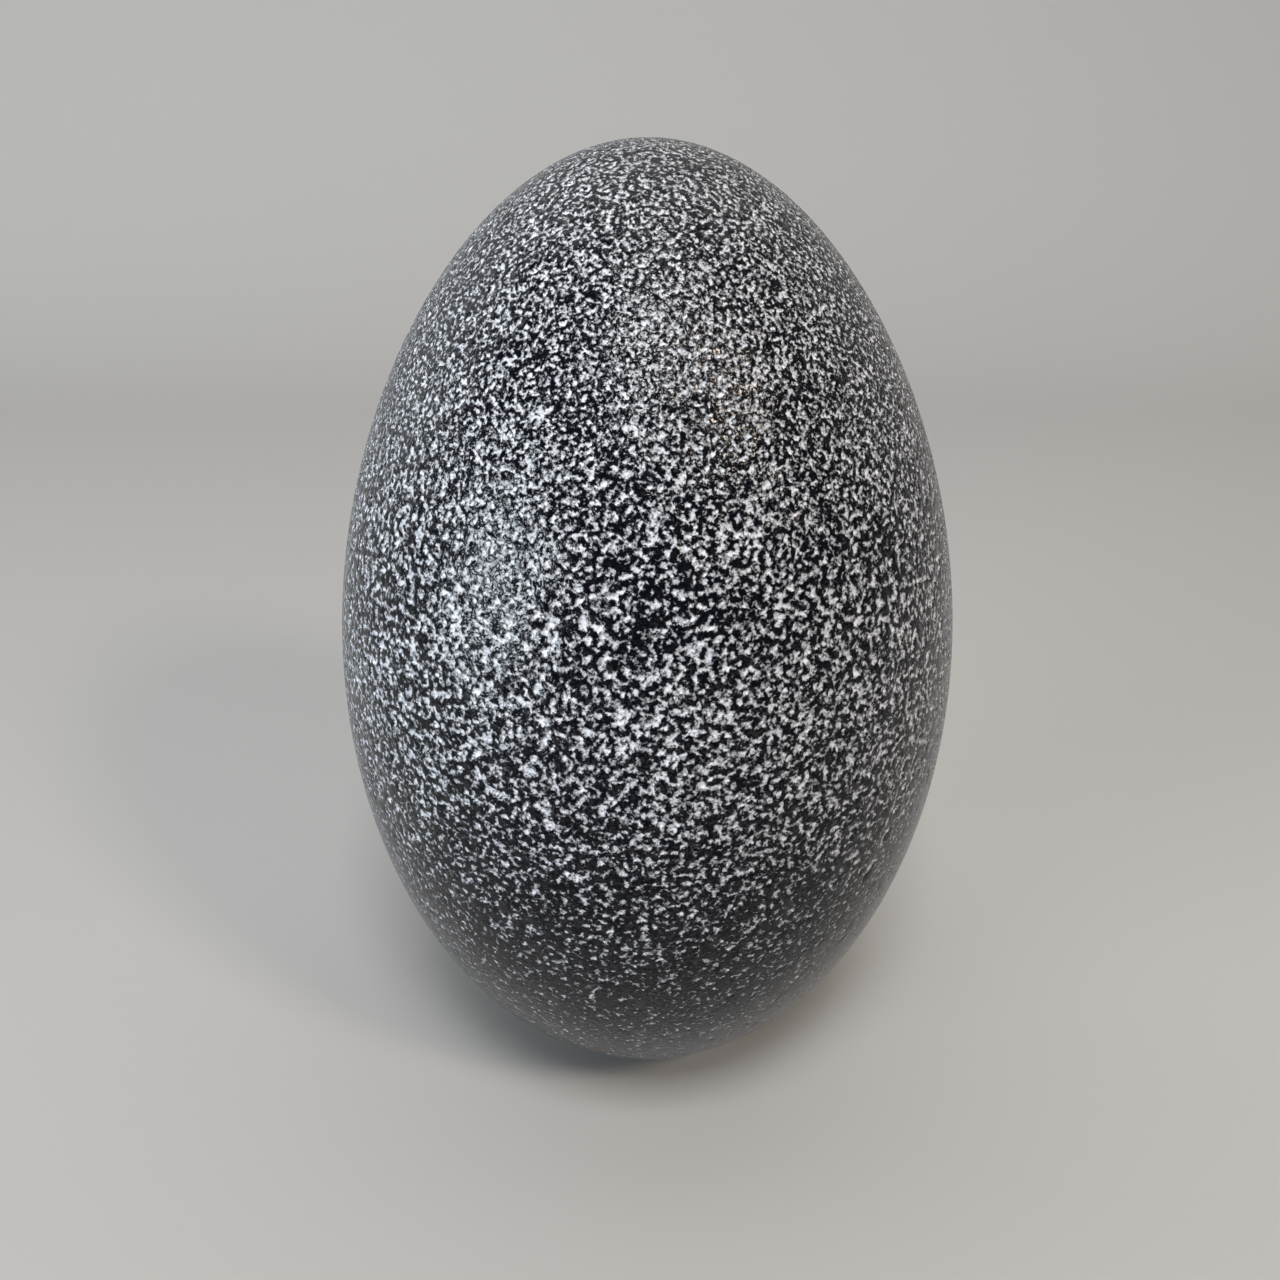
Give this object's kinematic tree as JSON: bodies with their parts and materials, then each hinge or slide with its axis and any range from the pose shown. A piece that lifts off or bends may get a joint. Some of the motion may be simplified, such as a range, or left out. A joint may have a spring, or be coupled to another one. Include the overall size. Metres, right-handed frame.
{
  "type": "emu egg",
  "caption": "Whole emu egg with a dark granular shell, standing upright on the small flat spot at its blunt end.",
  "frame": {"origin": "centre of the small flat spot that the egg stands on", "axes": "+Z along the egg's axis, from the blunt end up to the slightly narrower end"},
  "size_m": [0.086, 0.086, 0.1356],
  "materials": {
    "shell": "satin, granular: blackish charcoal crust with pale blue-grey pits"
  },
  "bodies": {
    "root": {"egg": "shell"}
  },
  "joints": []
}
